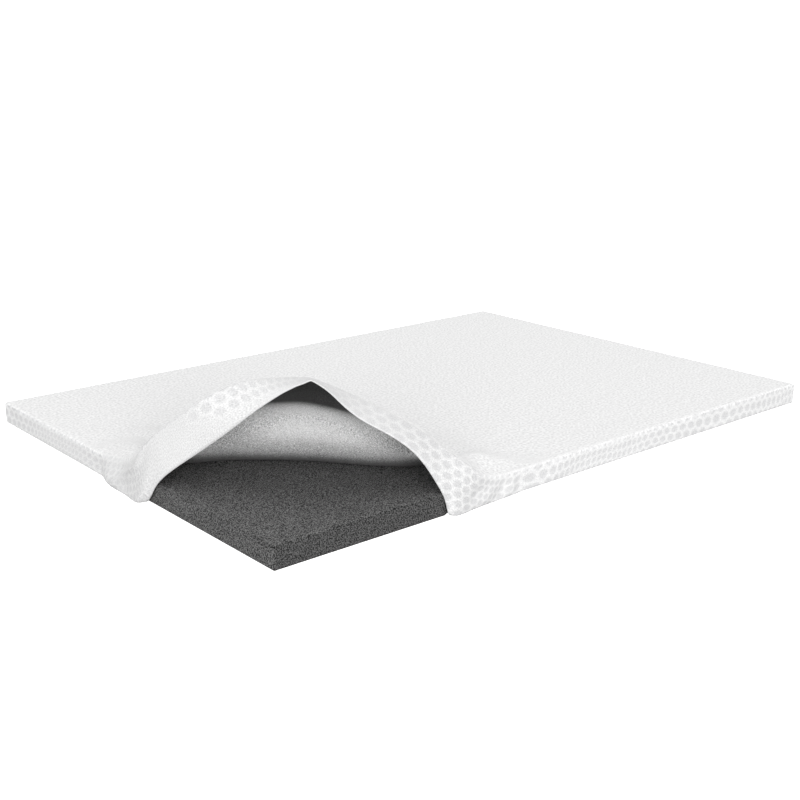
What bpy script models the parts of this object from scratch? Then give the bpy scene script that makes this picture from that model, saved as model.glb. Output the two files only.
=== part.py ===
"""Mattress topper: a foam slab in a knit cover, with one corner of the cover pulled up off the foam.

The cover is a single sheet of cloth: a top, four sides, and a hem that turns in under the slab.
At one corner the hem has been drawn out from below, and the cloth stands over the bare foam
like a hood. Sizes are in metres, +Z is up and the slab lies on the plane z = 0.

Places near the lifted corner are written as p, q, z: p runs along the long side and q along
the short side, both from that corner of the cover, and z is the height above the floor.
"""

from typing import NamedTuple

import bmesh
import bpy
from mathutils import Vector

# Foam slab
FOAM_LENGTH = 1.900
FOAM_WIDTH = 1.350
FOAM_HEIGHT = 0.057
FOAM_EDGE_RADIUS = 0.006
FOAM_EDGE_STEPS = 2

# Knit cover
CLOTH = 0.0025  # thickness of the knit
SIDE_EASE = 0.0010  # slack between the slab's sides and the cloth
TOP_GAP = 0.0003  # clearance between the slab's top and the cloth that lies on it
EDGE_RADIUS = 0.007  # roll of the cloth over the slab's top edges
FOLD_RADIUS = 0.004  # roll of the cloth where it turns in under the slab
CORNER_RADIUS = 0.010  # upright corners, seen from above
HEM_TURN = 0.036  # how far the hem reaches in under the slab, from the cover's side
HEM_PRESS = 0.004  # depth of the bed that the hem presses into the slab's underside
HEM_PRESS_FROM_P = 0.470  # the pressed bed starts this far from the bare corner, long side
HEM_PRESS_FROM_Q = 0.500  # and this far along the short side

# Lifted corner
RIDGE_RADIUS = 0.014  # roll of the cloth over the hood's rim
BAND_ROLL = 0.012  # roll half way down the lifted band, where the turned hem was pressed
BAND_SWELL = 0.004  # outward bow of the lifted band
BROW_RADIUS = 0.030  # bend between the hood's roof and the wall that rises from the slab
KNEE_RADIUS = 0.014  # bend where that wall meets the cloth still lying flat
BROW_LEAN = 0.012  # how far the wall leans back at its top
BROW_FULL = 0.080  # a brow this high or higher has the whole lean
ROOF_CROWN = 0.016  # upward bow of the hood's roof
ROOF_BOW = ((0.35, 1.0), (0.7, 0.9))  # share of the way back, and share of the bow there
BROW_CUT, WALL_CUT = 0.40, 0.45  # a bend rounds off at most these shares of roof and wall
FLAT_BROW_STEP = 0.030  # where there is no brow, its row of points keeps this far from the knee
LIFT_FULL = 0.050  # a ridge this far above the slab has the hood's radii

# Mesh steps
STEPS_PER_SECTION = 2  # columns of points between one section and the next
FLAT_ROWS = 3  # rows of points across the flat top, between hood and far edges
HEM_SQUEEZE = 0.080  # near a corner, hem points within this distance crowd together

MM = 0.001
COVER_LENGTH = FOAM_LENGTH + 2 * (SIDE_EASE + CLOTH)
COVER_WIDTH = FOAM_WIDTH + 2 * (SIDE_EASE + CLOTH)
COVER_HEIGHT = FOAM_HEIGHT + TOP_GAP + CLOTH


class Section(NamedTuple):
    """One cut across the lifted corner, from the hem over the rim to the flat top, in millimetres."""

    hem: tuple  # p, q, z of the cloth's free edge
    ridge: tuple  # p, q, z of the rim, where side and top would meet
    back: tuple  # p, q of the line where the hood comes down on the slab
    brow: float  # height of the bend in the hood above that line
    turn: tuple = None  # p, q, z of the fold at the foot of the side, where there still is one


# From the short side, over the peak, to the long side
SECTIONS = [
    Section((36, 760, 0), (0, 760, 59.8), (8, 850), 0, (0, 760, 0)),
    Section((16, 655, 0), (0, 668, 72), (46, 765), 0, (-20, 678, 0)),
    Section((7, 575, 0), (0, 600, 94), (78, 690), 4, (-13, 608, 0)),
    Section((-6, 517, 4), (2, 553, 120), (98, 628), 12, (-19, 535, 0)),
    Section((-4, 482, 52), (3, 520, 150), (112, 588), 25),
    Section((14, 441, 95), (14, 497, 177), (130, 568), 50),
    Section((40, 402, 129), (32, 455, 210), (165, 558), 82),
    Section((98, 326, 198), (67, 388, 272), (225, 532), 118),
    Section((130, 287, 240), (115, 364, 296), (274, 494), 134),
    Section((164, 246, 281), (161, 341, 314), (321, 452), 142),
    Section((200, 210, 314), (226, 303, 318), (358, 419), 144),
    Section((233, 177, 332), (291, 256, 313), (391, 384), 140),
    Section((264, 153, 310), (334, 222, 293), (423, 342), 132),
    Section((310, 118, 248), (389, 178, 260), (459, 291), 118),
    Section((370, 75, 207), (451, 133, 218), (499, 242), 98),
    Section((422, 36, 158), (505, 89, 174), (545, 200), 74),
    Section((457, 8, 87), (548, 31, 122), (592, 165), 42),
    Section((476, -3, 44), (570, 5, 101), (635, 138), 22),
    Section((483, -7, 3), (592, 0, 79), (678, 108), 8, (487, -16, 0)),
    Section((548, 10, 0), (628, 0, 66), (722, 76), 0, (572, -12, 0)),
    Section((655, 30, 0), (680, 0, 59.8), (770, 40), 0, (672, -8, 0)),
    Section((735, 36, 0), (735, 0, 59.8), (825, 8), 0, (735, 0, 0)),
]
PEAK_SECTION = 11
HALF_BAND = 0.6  # share of the lifted band that was the side, the rest being the hem


def clear_scene():
    for obj in list(bpy.data.objects):
        bpy.data.objects.remove(obj, do_unlink=True)


def new_material(name, color, roughness):
    material = bpy.data.materials.new(name)
    material.use_nodes = True
    shader = material.node_tree.nodes["Principled BSDF"]
    shader.inputs["Base Color"].default_value = (*color, 1.0)
    shader.inputs["Roughness"].default_value = roughness
    shader.inputs["Metallic"].default_value = 0.0
    material.diffuse_color = (*color, 1.0)
    return material


def add_object(name, mesh, material=None):
    obj = bpy.data.objects.new(name, mesh)
    bpy.context.scene.collection.objects.link(obj)
    if material:
        mesh.materials.append(material)
    return obj


def clamp(value, low, high):
    return min(max(value, low), high)


def smooth_step(value):
    share = clamp(value, 0.0, 1.0)
    return share * share * (3 - 2 * share)


def corner_origin():
    """Where the lifted corner of the cover lies, with the whole footprint centred on the origin."""
    turns = [section.turn for section in SECTIONS if section.turn]
    swell_p = -min(turn[0] for turn in turns) * MM
    swell_q = -min(turn[1] for turn in turns) * MM
    return Vector(((swell_p - COVER_LENGTH) / 2, (swell_q - COVER_WIDTH) / 2, 0))


# ---------------------------------------------------------------- sections of the lifted corner


def slopes(values):
    """Slope at each knot of a curve that never swings past its knots."""
    steps = [after - before for before, after in zip(values, values[1:])]
    inner = [
        2 * left * right / (left + right) if left * right > 0 else 0.0
        for left, right in zip(steps, steps[1:])
    ]
    return [steps[0], *inner, steps[-1]]


def curve_value(values, place):
    """The values' smooth curve, read at a place counted in knots."""
    index = min(int(place), len(values) - 2)
    share = place - index
    slope = slopes(values)
    start, end = values[index], values[index + 1]
    rise = share * share * (3 - 2 * share)
    leave = share * (1 - share) ** 2
    arrive = share * share * (share - 1)
    return start + (end - start) * rise + slope[index] * leave + slope[index + 1] * arrive


def curve_point(points, place):
    return Vector([curve_value([point[axis] for point in points], place) for axis in range(3)])


def band_turn(section):
    """Middle of the lifted band, bowed a little outwards, away from the slab."""
    hem, ridge = Vector(section.hem) * MM, Vector(section.ridge) * MM
    outward = Vector((-1, -1, 0)).normalized()
    return ridge.lerp(hem, HALF_BAND) + outward * BAND_SWELL


def round_bend(before, bend, after, cut):
    """Three points that round off a bend, starting and ending a cut's length from it."""
    start = bend + (before - bend).normalized() * cut
    end = bend + (after - bend).normalized() * cut
    return [start, (start + 2 * bend + end) / 4, end]


def skirt(start, edge, turn, fold_end, hem, rolls):
    """Points from the top down a side and in to the hem, without the first, which the top has."""
    edge_roll, fold_roll = rolls
    side_start = edge + (turn - edge).normalized() * edge_roll
    side_end = turn + (edge - turn).normalized() * fold_roll
    return [
        (start + 2 * edge + side_start) / 4,
        side_start,
        (side_start + side_end) / 2,
        side_end,
        (side_end + 2 * turn + fold_end) / 4,
        fold_end,
        hem,
    ]


class LiftedColumn:
    """The cloth's points at one place along the lifted corner."""

    def __init__(self, place):
        hem = curve_point([Vector(s.hem) * MM for s in SECTIONS], place)
        ridge = curve_point([Vector(s.ridge) * MM for s in SECTIONS], place)
        back = curve_point([Vector((*s.back, 0)) * MM for s in SECTIONS], place)
        brow = curve_value([s.brow * MM for s in SECTIONS], place)
        turns = [Vector(s.turn) * MM if s.turn else band_turn(s) for s in SECTIONS]
        turn = curve_point(turns, place)

        lift = smooth_step((ridge.z - COVER_HEIGHT) / LIFT_FULL)
        back.z = COVER_HEIGHT
        away = Vector((back.x - ridge.x, back.y - ridge.y, 0)).normalized()
        fullness = clamp(brow / BROW_FULL, 0.0, 1.0)
        lean = BROW_LEAN * fullness - FLAT_BROW_STEP * (1 - fullness)
        bend = back + away * lean + Vector((0, 0, brow))

        side_inward = Vector((1, 0, 0)) if place < PEAK_SECTION else Vector((0, 1, 0))
        inward = side_inward.lerp((bend - ridge).normalized(), lift).normalized()
        edge_roll = EDGE_RADIUS + (RIDGE_RADIUS - EDGE_RADIUS) * lift
        fold_roll = FOLD_RADIUS + (BAND_ROLL - FOLD_RADIUS) * lift * (turn.z > FOLD_RADIUS)
        start = ridge + inward * edge_roll
        fold_end = turn + (hem - turn).normalized() * fold_roll
        self.skirt = skirt(start, ridge, turn, fold_end, hem, (edge_roll, fold_roll))
        self.top = self.hood_rows(start, bend, back, away, fullness)

    @staticmethod
    def hood_rows(start, bend, back, away, fullness):
        """Points from the rim, along the roof and down the wall, to the cloth that lies flat."""
        roof, wall = (bend - start).length, (back - bend).length
        brow_cut = min(BROW_RADIUS, BROW_CUT * roof, WALL_CUT * wall)
        knee_cut = min(KNEE_RADIUS, BROW_CUT * wall)
        brow_points = round_bend(start, bend, back, brow_cut)
        knee_points = round_bend(bend, back, back + away, knee_cut)
        crown = Vector((0, 0, ROOF_CROWN * fullness))
        roof_points = [
            start.lerp(brow_points[0], share) + crown * height for share, height in ROOF_BOW
        ]
        wall_point = brow_points[-1].lerp(knee_points[0], 0.5)
        return [start, *roof_points, *brow_points, wall_point, *knee_points]


# ---------------------------------------------------------------- the rest of the cover


def outline(p, q, inset):
    """The point at an inset from a point of the cover's square-cornered outline."""
    at_corner = p in (0, COVER_LENGTH) and q in (0, COVER_WIDTH)
    if inset < CORNER_RADIUS:
        round_off = (1 - 0.5**0.5) * (CORNER_RADIUS - inset) if at_corner else 0.0
        pull = inset + round_off
        return clamp(p, pull, COVER_LENGTH - pull), clamp(q, pull, COVER_WIDTH - pull)
    return crowd(p, COVER_LENGTH, inset), crowd(q, COVER_WIDTH, inset)


def crowd(along, size, inset):
    """A coordinate moved in from both ends of its side, by the whole inset only at the very end."""
    reach = max(HEM_SQUEEZE, inset)
    share = (reach - inset) / reach
    if along < reach:
        return inset + along * share
    if along > size - reach:
        return size - inset - (size - along) * share
    return along


def side_skirt(p, q):
    """The skirt where the cover fits the slab, at a point of its square-cornered outline."""
    start = Vector((*outline(p, q, EDGE_RADIUS), COVER_HEIGHT))
    edge = Vector((*outline(p, q, 0), COVER_HEIGHT))
    turn = Vector((edge.x, edge.y, 0))
    fold_end = Vector((*outline(p, q, FOLD_RADIUS), 0))
    hem = Vector((*outline(p, q, HEM_TURN), 0))
    return skirt(start, edge, turn, fold_end, hem, (EDGE_RADIUS, FOLD_RADIUS))


def far_stations(to_corner, to_end):
    """Outline points along the two far sides, one for each column of the lifted corner."""
    stations = []
    for index in range(to_corner + 1):
        share = clamp((index - 1) / (to_corner - 2), 0, 1)
        along = CORNER_RADIUS + share * (COVER_LENGTH - 2 * CORNER_RADIUS)
        along = {0: 0.0, to_corner: COVER_LENGTH}.get(index, along)
        stations.append((along, COVER_WIDTH))
    for index in range(1, to_end + 1):
        share = clamp((index - 1) / (to_end - 2), 0, 1)
        along = CORNER_RADIUS + share * (COVER_WIDTH - 2 * CORNER_RADIUS)
        along = COVER_WIDTH if index == to_end else along
        stations.append((COVER_LENGTH, COVER_WIDTH - along))
    return stations


def far_rows(index, last, station):
    """The last two points of a column of the top: a corner's width inside the edge, and on it."""
    edge = Vector((*outline(*station, EDGE_RADIUS), COVER_HEIGHT))
    if index == 0:
        inner = outline(0, COVER_WIDTH - CORNER_RADIUS, EDGE_RADIUS)
    elif index == last:
        inner = outline(COVER_LENGTH - CORNER_RADIUS, 0, EDGE_RADIUS)
    else:
        p, q = station
        inner = (
            clamp(p, CORNER_RADIUS, COVER_LENGTH - CORNER_RADIUS),
            clamp(q, CORNER_RADIUS, COVER_WIDTH - CORNER_RADIUS),
        )
    return [Vector((*inner, COVER_HEIGHT)), edge]


def cover_grid():
    """Columns of the top, and columns of the skirt in their order around the cover."""
    count = (len(SECTIONS) - 1) * STEPS_PER_SECTION
    lifted = [LiftedColumn(index / STEPS_PER_SECTION) for index in range(count + 1)]
    to_corner = PEAK_SECTION * STEPS_PER_SECTION
    stations = far_stations(to_corner, count - to_corner)
    top = []
    for index, (column, station) in enumerate(zip(lifted, stations)):
        inner, edge = far_rows(index, count, station)
        shares = [(row + 1) / (FLAT_ROWS + 1) for row in range(FLAT_ROWS)]
        flat = [column.top[-1].lerp(inner, share) for share in shares]
        top.append([*column.top, *flat, inner, edge])
    rows = len(top[0])
    skirts = [((index, 0), column.skirt) for index, column in enumerate(lifted)]
    skirts += [((count, row), side_skirt(top[count][row].x, 0)) for row in range(1, rows - 1)]
    skirts += [((index, rows - 1), side_skirt(*stations[index])) for index in range(count, -1, -1)]
    skirts += [((0, row), side_skirt(0, top[0][row].y)) for row in range(rows - 2, 0, -1)]
    return top, skirts


def build_cover(origin, material):
    """The cloth as a sheet of points, given its thickness towards the slab."""
    top, skirts = cover_grid()
    sheet = bmesh.new()
    top_verts = [[sheet.verts.new(origin + point) for point in column] for column in top]
    for left, right in zip(top_verts, top_verts[1:]):
        for row in range(len(left) - 1):
            sheet.faces.new((left[row], right[row], right[row + 1], left[row + 1]))
    columns = [
        [top_verts[index][row], *(sheet.verts.new(origin + point) for point in points)]
        for (index, row), points in skirts
    ]
    for left, right in zip(columns, columns[1:] + columns[:1]):
        for row in range(len(left) - 1):
            sheet.faces.new((left[row], left[row + 1], right[row + 1], right[row]))
    mesh = bpy.data.meshes.new("cover")
    sheet.to_mesh(mesh)
    sheet.free()
    mesh.shade_smooth()
    cover = add_object("cover", mesh, material)
    thickness = cover.modifiers.new("cloth thickness", "SOLIDIFY")
    thickness.thickness = CLOTH
    thickness.offset = -1
    thickness.use_even_offset = True
    thickness.use_rim = True
    return cover


# ---------------------------------------------------------------- foam slab


def box_mesh(name, low, high):
    mesh = bpy.data.meshes.new(name)
    block = bmesh.new()
    bmesh.ops.create_cube(block, size=1)
    size, middle = high - low, (high + low) / 2
    bmesh.ops.scale(block, vec=size, verts=block.verts)
    bmesh.ops.translate(block, vec=middle, verts=block.verts)
    block.to_mesh(mesh)
    block.free()
    return mesh


def hem_bed_cutter(origin):
    """The outline that the turned hem presses into the slab's underside, open at the bare corner."""
    margin = 0.02
    reach = HEM_TURN + 0.002
    outer_p, outer_q = COVER_LENGTH + margin, COVER_WIDTH + margin
    inner_p, inner_q = COVER_LENGTH - reach, COVER_WIDTH - reach
    plan = [
        (HEM_PRESS_FROM_P, -margin),
        (outer_p, -margin),
        (outer_p, outer_q),
        (-margin, outer_q),
        (-margin, HEM_PRESS_FROM_Q),
        (reach, HEM_PRESS_FROM_Q),
        (reach, inner_q),
        (inner_p, inner_q),
        (inner_p, reach),
        (HEM_PRESS_FROM_P, reach),
    ]
    mesh = bpy.data.meshes.new("hem_bed")
    shape = bmesh.new()
    floor = shape.faces.new([shape.verts.new(origin + Vector((p, q, -margin))) for p, q in plan])
    raised = bmesh.ops.extrude_face_region(shape, geom=[floor])
    lifted = [item for item in raised["geom"] if isinstance(item, bmesh.types.BMVert)]
    bmesh.ops.translate(shape, vec=(0, 0, margin + HEM_PRESS), verts=lifted)
    bmesh.ops.recalc_face_normals(shape, faces=shape.faces)
    shape.to_mesh(mesh)
    shape.free()
    cutter = add_object("hem_bed", mesh)
    cutter.hide_render = True
    cutter.display_type = "WIRE"
    return cutter


def build_foam(origin, material):
    wall = SIDE_EASE + CLOTH
    low = origin + Vector((wall, wall, 0))
    high = low + Vector((FOAM_LENGTH, FOAM_WIDTH, FOAM_HEIGHT))
    foam = add_object("foam_core", box_mesh("foam_core", low, high), material)
    edges = foam.modifiers.new("soft edges", "BEVEL")
    edges.width = FOAM_EDGE_RADIUS
    edges.segments = FOAM_EDGE_STEPS
    edges.limit_method = "ANGLE"
    bed = foam.modifiers.new("hem bed", "BOOLEAN")
    bed.operation = "DIFFERENCE"
    bed.solver = "EXACT"
    bed.object = hem_bed_cutter(origin)
    return foam


def main():
    clear_scene()
    origin = corner_origin()
    build_foam(origin, new_material("charcoal foam", (0.10, 0.10, 0.105), 0.95))
    build_cover(origin, new_material("white knit", (0.86, 0.86, 0.86), 0.85))


main()
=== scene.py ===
"""Mattress topper: a charcoal foam slab in a white knit cover, one corner of the cover drawn up.

The cloth is laid out column by column. Each column runs from the free hem, over the rim, along
the top and to the far edge, so the weave and its dots can follow the cloth wherever it goes.
Sizes are in metres. Near the lifted corner a place is written p, q, z: p along the long side
and q along the short side, both from that corner of the cover, and z above the floor.
"""

from __future__ import annotations

import logging
import math
from dataclasses import dataclass, field
from enum import Enum
from typing import NamedTuple, Optional, Union

import bpy
import numpy as np
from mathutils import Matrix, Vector


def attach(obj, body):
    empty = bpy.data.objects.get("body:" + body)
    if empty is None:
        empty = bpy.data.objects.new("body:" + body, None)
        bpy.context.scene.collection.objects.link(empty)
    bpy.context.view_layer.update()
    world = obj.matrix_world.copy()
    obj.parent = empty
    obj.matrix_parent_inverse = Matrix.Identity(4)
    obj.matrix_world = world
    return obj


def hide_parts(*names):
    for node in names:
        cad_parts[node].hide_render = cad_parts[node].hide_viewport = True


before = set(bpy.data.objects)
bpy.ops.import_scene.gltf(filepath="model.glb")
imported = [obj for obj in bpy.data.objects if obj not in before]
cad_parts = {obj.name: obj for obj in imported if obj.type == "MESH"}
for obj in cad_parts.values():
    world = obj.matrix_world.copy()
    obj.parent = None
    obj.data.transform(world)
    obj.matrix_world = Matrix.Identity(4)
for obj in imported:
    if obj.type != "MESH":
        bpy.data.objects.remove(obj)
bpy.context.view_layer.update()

MM = 0.001
TINY = 1e-12
log = logging.getLogger("topper")

Socket = bpy.types.NodeSocket
Value = Union[float, Socket]
Triple = tuple[float, float, float]
Color = Union[Triple, Socket]


class ClothSide(Enum):
    """The two sides of the knit, by their material slot."""

    FACE = 0
    BACK = 1


class MathStep(Enum):
    """The sums that the finishes are worked out with."""

    ADD = "ADD"
    SUBTRACT = "SUBTRACT"
    MULTIPLY = "MULTIPLY"
    FRACTION = "FRACT"
    LEAST = "MINIMUM"
    ROOT = "SQRT"


# ------------------------------------------------------------------------------ sizes of the piece


@dataclass(frozen=True)
class TopperSizes:
    """Sizes that the slab and the cover share."""

    foam_length: float = 1.900
    foam_width: float = 1.350
    foam_height: float = 0.057
    cloth: float = 0.0025
    side_ease: float = 0.0010
    top_gap: float = 0.0003
    hem_turn: float = 0.036
    hem_press: float = 0.004
    hem_press_from_p: float = 0.483
    hem_press_from_q: float = 0.530
    foot_swell_p: float = 0.020
    foot_swell_q: float = 0.016

    @property
    def wall(self) -> float:
        """Cloth and slack beside the slab."""
        return self.side_ease + self.cloth

    @property
    def length(self) -> float:
        """Length of the cover."""
        return self.foam_length + 2 * self.wall

    @property
    def width(self) -> float:
        """Width of the cover."""
        return self.foam_width + 2 * self.wall

    @property
    def height(self) -> float:
        """Height of the cover's flat top."""
        return self.foam_height + self.top_gap + self.cloth

    @property
    def corner(self) -> np.ndarray:
        """Where the lifted corner lies on the floor.

        Returns:
            The corner's place, with the footprint centred on the origin.
        """
        return np.array(
            [(self.foot_swell_p - self.length) / 2, (self.foot_swell_q - self.width) / 2, 0.0]
        )


class Section(NamedTuple):
    """One cut across the lifted corner, from the hem over the rim to the flat top, in millimetres.

    Hem is the cloth's free edge, ridge is where side and top meet, and back is where the hood's
    wall would meet the flat cloth. Brow is how high that wall stands, and turn is the fold at
    the foot of the side, left out where the side is lifted.
    """

    hem: Triple
    ridge: Triple
    back: tuple[float, float]
    brow: float
    turn: Optional[Triple] = None


# From the short side, over the peak, to the long side
SECTIONS = (
    Section((36, 760, 0), (0, 760, 59.8), (8, 850), 0, (0, 760, 0)),
    Section((16, 655, 0), (0, 668, 72), (100, 850), 0, (-23, 680, -2)),
    Section((7, 575, 0), (0, 600, 94), (130, 750), 4, (-19, 607, -1)),
    Section((-7, 514, 2), (2, 553, 120), (106, 650), 12, (-30, 526, -7)),
    Section((-4, 482, 52), (3, 520, 150), (112, 588), 25),
    Section((14, 441, 95), (14, 497, 177), (130, 568), 50),
    Section((40, 402, 129), (32, 455, 210), (165, 558), 82),
    Section((98, 326, 198), (67, 388, 272), (225, 532), 118),
    Section((130, 287, 240), (115, 364, 296), (274, 494), 134),
    Section((164, 246, 281), (161, 341, 314), (321, 452), 142),
    Section((200, 210, 314), (226, 303, 318), (358, 419), 144),
    Section((223, 187, 328), (274, 269, 316), (382, 393), 142),
    Section((233, 177, 335), (291, 256, 313), (391, 384), 140),
    Section((243, 169, 328), (305, 245, 307), (400, 371), 138),
    Section((264, 153, 310), (334, 222, 293), (423, 342), 132),
    Section((310, 118, 248), (389, 178, 260), (459, 291), 118),
    Section((370, 75, 207), (451, 133, 218), (499, 242), 98),
    Section((422, 36, 158), (505, 89, 174), (545, 200), 74),
    Section((457, 8, 87), (548, 31, 122), (592, 165), 42),
    Section((476, -3, 44), (570, 5, 101), (635, 138), 22),
    Section((482, -8, 0), (592, 0, 79), (700, 140), 6, (485, -20, -5)),
    Section((548, 10, 0), (628, 0, 66), (750, 120), 0, (572, -11, 0)),
    Section((655, 30, 0), (680, 0, 59.8), (790, 70), 0, (672, -8, 0)),
    Section((735, 36, 0), (735, 0, 59.8), (825, 8), 0, (735, 0, 0)),
)
PEAK_SECTION = 12


class DotZone(NamedTuple):
    """How the border's dots are set at one place along it.

    The place is counted along the rim from the lifted corner's peak, on towards the long side
    and, below 0, towards the short side. Pitch and row are in millimetres. A lean of 0.5 sets
    the dots in slanting chains, and a strength below 1 makes them faint. Top and bottom are
    how far down the border the dots start and end, in millimetres.
    """

    place: float
    pitch: float
    row: float
    lean: float
    strength: float
    top: float = 0
    bottom: float = 130


DOT_ZONES = (
    DotZone(-1.34, 35, 22, 0.0, 1.0),
    DotZone(-1.20, 33, 20, 0.1, 0.9),
    DotZone(-1.08, 21, 17, 0.5, 0.6),
    DotZone(-0.90, 20, 17, 0.5, 0.6),
    DotZone(-0.78, 34, 20, 0.3, 0.9),
    DotZone(-0.70, 26, 18, 0.6, 0.7),
    DotZone(-0.61, 14, 20, 0.2, 0.55, 16),
    DotZone(-0.53, 14, 20, 0.0, 0.85, 30),
    DotZone(-0.46, 14, 16, 0.0, 0.10, 30, 110),
    DotZone(-0.34, 26, 24, 0.2, 0.0, 10, 40),
    DotZone(-0.26, 42, 28, 0.0, 0.8, 4, 50),
    DotZone(-0.20, 36, 28, 0.0, 0.9, 2, 70),
    DotZone(-0.14, 22, 32, 0.0, 0.8, 0, 90),
    DotZone(-0.04, 17, 36, 0.2, 0.5, 0, 90),
    DotZone(0.05, 30, 26, 0.0, 0.4, 12),
    DotZone(0.14, 34, 31, 0.0, 0.6, 14),
    DotZone(0.24, 41, 33, 0.0, 0.75, 12),
    DotZone(0.34, 36, 28, 0.0, 0.9, 6),
    DotZone(0.44, 31, 21, 0.0, 1.0, 0),
    DotZone(0.51, 30, 18, 0.0, 1.0),
    DotZone(0.58, 26, 17, 0.5, 0.9),
    DotZone(0.66, 34, 21, 0.5, 1.0),
    DotZone(0.71, 45, 29, 0.1, 1.0),
    DotZone(0.78, 29, 27, 0.0, 1.0),
    DotZone(0.86, 22, 20, 0.45, 0.95),
    DotZone(0.96, 21, 18, 0.55, 0.9),
    DotZone(1.04, 18, 22, 0.5, 0.9),
    DotZone(1.11, 19, 20, 0.2, 0.9),
    DotZone(1.17, 31, 18, 0.0, 1.0),
    DotZone(1.30, 36, 22, 0.0, 1.0),
    DotZone(1.45, 42, 31, 0.0, 1.0),
    DotZone(1.58, 34, 24, 0.0, 1.0),
    DotZone(1.68, 26, 30, 0.1, 1.0),
    DotZone(1.78, 24, 30, 0.2, 1.0),
)
ZONE_REPEAT = (0.71, 1.45)


class Crease(NamedTuple):
    """A soft ridge, or a trough where height is below 0, between two places of the flat cloth."""

    start: tuple[float, float]
    end: tuple[float, float]
    width: float
    height: float


# Places are in metres on the cloth as cut: u along the long side, v along the short side,
# and below 0 on the sides that hang from them
CREASES = (
    Crease((-0.066, 0.684), (-0.006, 0.618), 0.006, -0.0030),
    Crease((-0.094, 0.722), (-0.012, 0.500), 0.011, 0.0140),
    Crease((-0.076, 0.618), (-0.034, 0.545), 0.007, -0.0024),
    Crease((-0.088, 0.598), (-0.050, 0.530), 0.007, 0.0024),
    Crease((0.600, -0.090), (0.616, -0.026), 0.007, -0.0026),
    Crease((0.626, -0.086), (0.645, -0.018), 0.008, 0.0032),
    Crease((0.654, -0.080), (0.672, -0.008), 0.008, -0.0040),
    Crease((0.690, -0.074), (0.694, -0.010), 0.009, 0.0030),
    Crease((0.716, -0.070), (0.724, -0.010), 0.009, -0.0018),
)

# The broad slopes over which the hood runs out on the flat cloth, on the same places
RUN_OUTS = (
    Crease((0.010, 0.610), (0.230, 0.890), 0.055, 0.0120),
    Crease((0.640, 0.430), (0.700, 0.010), 0.065, 0.0160),
)

# The share of a crease over which it fades at either end
CREASE_FADE = 0.3


# ---------------------------------------------------------------------------------- small sums


def smooth_step(value: np.ndarray) -> np.ndarray:
    """0 below 0, 1 above 1, and a smooth rise between."""
    share = np.clip(value, 0.0, 1.0)
    return share * share * (3 - 2 * share)


def unit(vectors: np.ndarray) -> np.ndarray:
    """The vectors at length 1."""
    return vectors / np.maximum(np.linalg.norm(vectors, axis=-1, keepdims=True), TINY)


def span_lengths(points: np.ndarray) -> np.ndarray:
    """The lengths between the neighbouring points of each column."""
    return np.linalg.norm(np.diff(points[..., :3], axis=1), axis=2)


def added_up(spans: np.ndarray) -> np.ndarray:
    """Each row's running total, from 0 on."""
    return np.concatenate([np.zeros((len(spans), 1)), np.cumsum(spans, axis=1)], axis=1)


def section_curve(knots: np.ndarray, places: np.ndarray) -> np.ndarray:
    """Reads a smooth curve that never swings past its knots.

    Args:
        knots: one row of values for each knot.
        places: where to read the curve, counted in knots.

    Returns:
        One row of values for each place.
    """
    steps = np.diff(knots, axis=0)
    before, after = steps[:-1], steps[1:]
    same_way = before * after > 0
    total = np.where(same_way, before + after, 1.0)
    inner = np.where(same_way, 2 * before * after / total, 0.0)
    slope = np.concatenate([steps[:1], inner, steps[-1:]])
    index = np.minimum(places.astype(int), len(knots) - 2)
    share = (places - index)[:, None]
    rise = smooth_step(share)
    leave = share * (1 - share) ** 2
    arrive = share * share * (share - 1)
    start, end = knots[index], knots[index + 1]
    return start + (end - start) * rise + slope[index] * leave + slope[index + 1] * arrive


def ease_along(values: np.ndarray, spread: float, hold: int) -> np.ndarray:
    """Evens out a row of columns, leaving its two ends as they are.

    Args:
        values: the columns' values, one column after another along the first axis.
        spread: how many columns the evening reaches.
        hold: over how many columns it fades in from each end.

    Returns:
        The evened values.
    """
    reach = int(3 * spread)
    steps = np.arange(-reach, reach + 1)
    weights = np.exp(-0.5 * (steps / spread) ** 2)
    weights /= weights.sum()
    flat = values.reshape(len(values), -1)
    padded = np.pad(flat, ((reach, reach), (0, 0)), mode="edge")
    eased = sum(w * padded[i : i + len(flat)] for i, w in enumerate(weights))
    index = np.arange(len(flat))
    share = smooth_step(np.minimum(index, len(flat) - 1 - index) / hold)[:, None]
    return (flat + (eased - flat) * share).reshape(values.shape)


# Added to every span, so that points that lie together still make a line
LEAST_KNOT = 1e-6
LEAST_SPAN = 1e-7


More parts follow.
